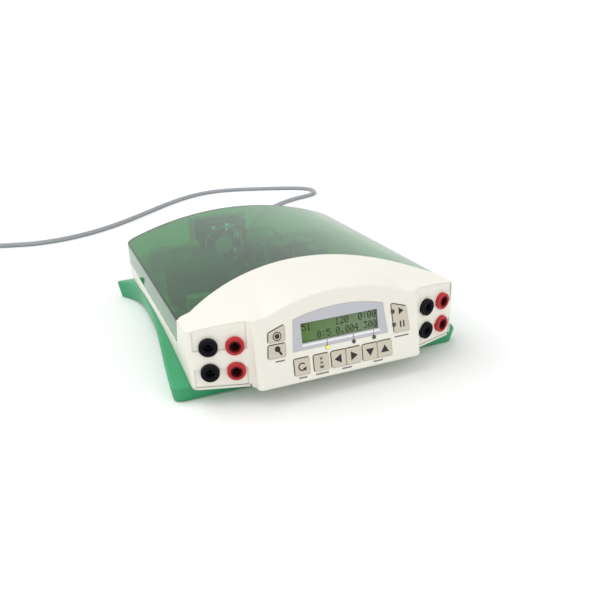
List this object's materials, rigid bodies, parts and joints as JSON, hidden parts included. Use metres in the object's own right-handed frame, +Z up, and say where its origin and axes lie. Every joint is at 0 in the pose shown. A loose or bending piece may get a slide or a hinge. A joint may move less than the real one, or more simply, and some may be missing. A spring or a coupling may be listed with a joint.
{
  "type": "electrophoresis power supply",
  "caption": "Bench power supply: arched translucent green cover, white front with leaning console and angled socket wings, flared green base.",
  "frame": {"origin": "middle of the footprint on the table, without the mains lead", "axes": "+Z up, +Y from the front to the back, +X to the right seen from the front"},
  "size_m": [0.7201, 0.8573, 0.1002],
  "materials": {
    "white_shell": "smooth moulded ABS, off-white",
    "green_cover": "smoked green translucent polycarbonate",
    "green_base": "smooth moulded ABS, mid green",
    "rubber": "matt rubber",
    "steel_screws": "zinc plated",
    "grey_bezel": "satin lavender grey",
    "clear_window": "clear acrylic",
    "lcd": "yellow-green display glass",
    "lamp_lens": "diffused lens",
    "board": "solder mask on glass-epoxy board",
    "black_plastic": "moulded, satin",
    "steel_panel": "powder-coated sheet",
    "nickel": "nickel plated",
    "fuse_glass": "glass tube",
    "winding_tape": "polyester tape over a winding",
    "can_sleeve": "shrink sleeve",
    "black_aluminium": "black anodised",
    "ferrite": "sintered ferrite and bobbin",
    "beige_box": "epoxy-filled box",
    "wire": "PVC insulation",
    "ribbon": "PVC ribbon",
    "cord_grey": "grey PVC",
    "beige_key": "satin moulded keycap",
    "socket_red": "red nylon",
    "socket_black": "black nylon"
  },
  "bodies": {
    "root": {"socket_left_lower_red": "socket_red", "socket_left_lower_black": "socket_black", "socket_left_upper_red": "socket_red", "socket_left_upper_black": "socket_black", "socket_right_lower_black": "socket_black", "socket_right_lower_red": "socket_red", "socket_right_upper_black": "socket_black", "socket_right_upper_red": "socket_red", "socket_contacts": "nickel", "socket_nuts": "nickel", "front_fascia": "white_shell", "top_cover": "green_cover", "lower_shell": "white_shell", "base_frame": "green_base", "foot_pads": "rubber", "screws": "steel_screws", "display_bezel": "grey_bezel", "display_window": "clear_window", "lcd_module": "lcd", "indicator_lamps": "lamp_lens", "keypad_board": "board", "key_switches": "black_plastic", "rear_panel": "steel_panel", "fan_frame": "black_plastic", "mains_inlet": "black_plastic", "inlet_pins": "nickel", "fuse_holder": "black_plastic", "power_switch": "black_plastic", "main_board": "board", "toroid_transformer": "winding_tape", "transformer_clamp": "steel_screws", "bulk_capacitors": "can_sleeve", "heat_sinks": "black_aluminium", "power_transistors": "black_plastic", "output_chokes": "ferrite", "switching_transformer": "ferrite", "film_capacitors": "beige_box", "hookup_wires": "wire", "rear_loom": "wire", "ribbon_cable": "ribbon", "cord_connector": "cord_grey", "cord_relief": "cord_grey", "mains_cord": "cord_grey", "cord_coil": "cord_grey", "plug_relief": "cord_grey", "mains_plug": "cord_grey", "plug_pins": "nickel"},
    "key_reset": {"key_reset": "beige_key"},
    "key_constant": {"key_constant": "beige_key"},
    "key_cursor_left": {"key_cursor_left": "beige_key"},
    "key_cursor_right": {"key_cursor_right": "beige_key"},
    "key_value_down": {"key_value_down": "beige_key"},
    "key_value_up": {"key_value_up": "beige_key"},
    "key_setup": {"key_setup": "beige_key"},
    "key_stop": {"key_stop": "beige_key"},
    "key_run_pause": {"key_run_pause": "beige_key"},
    "fan_rotor": {"fan_rotor": "black_plastic"},
    "fuse_drawer": {"fuse_drawer": "black_plastic", "fuse_cartridges": "fuse_glass"},
    "power_rocker": {"power_rocker": "black_plastic"}
  },
  "joints": [
    {"name": "key_reset_press", "type": "slide", "parent": "root", "child": "key_reset", "axis": [0, 0.9816, -0.1908], "range_m": [0, 0.001], "stiffness_N_per_m": 400},
    {"name": "key_constant_press", "type": "slide", "parent": "root", "child": "key_constant", "axis": [0, 0.9816, -0.1908], "range_m": [0, 0.001], "stiffness_N_per_m": 400},
    {"name": "key_cursor_left_press", "type": "slide", "parent": "root", "child": "key_cursor_left", "axis": [0, 0.9816, -0.1908], "range_m": [0, 0.001], "stiffness_N_per_m": 400},
    {"name": "key_cursor_right_press", "type": "slide", "parent": "root", "child": "key_cursor_right", "axis": [0, 0.9816, -0.1908], "range_m": [0, 0.001], "stiffness_N_per_m": 400},
    {"name": "key_value_down_press", "type": "slide", "parent": "root", "child": "key_value_down", "axis": [0, 0.9816, -0.1908], "range_m": [0, 0.001], "stiffness_N_per_m": 400},
    {"name": "key_value_up_press", "type": "slide", "parent": "root", "child": "key_value_up", "axis": [0, 0.9816, -0.1908], "range_m": [0, 0.001], "stiffness_N_per_m": 400},
    {"name": "key_setup_press", "type": "slide", "parent": "root", "child": "key_setup", "axis": [0, 0.9816, -0.1908], "range_m": [0, 0.001], "stiffness_N_per_m": 400},
    {"name": "key_stop_press", "type": "slide", "parent": "root", "child": "key_stop", "axis": [0, 0.9816, -0.1908], "range_m": [0, 0.001], "stiffness_N_per_m": 400},
    {"name": "key_run_pause_press", "type": "slide", "parent": "root", "child": "key_run_pause", "axis": [0, 0.9816, -0.1908], "range_m": [0, 0.001], "stiffness_N_per_m": 400},
    {"name": "fan_spin", "type": "hinge", "parent": "root", "child": "fan_rotor", "pos_m": [-0.02, 0.15, 0.058], "axis": [0, 1, 0], "continuous": true},
    {"name": "fuse_drawer_slide", "type": "slide", "parent": "root", "child": "fuse_drawer", "axis": [0, 1, 0], "range_m": [0, 0.018]},
    {"name": "power_rocker_tilt", "type": "hinge", "parent": "root", "child": "power_rocker", "pos_m": [0.104, 0.159, 0.037], "axis": [1, 0, 0], "range_deg": [0, 16]}
  ]
}
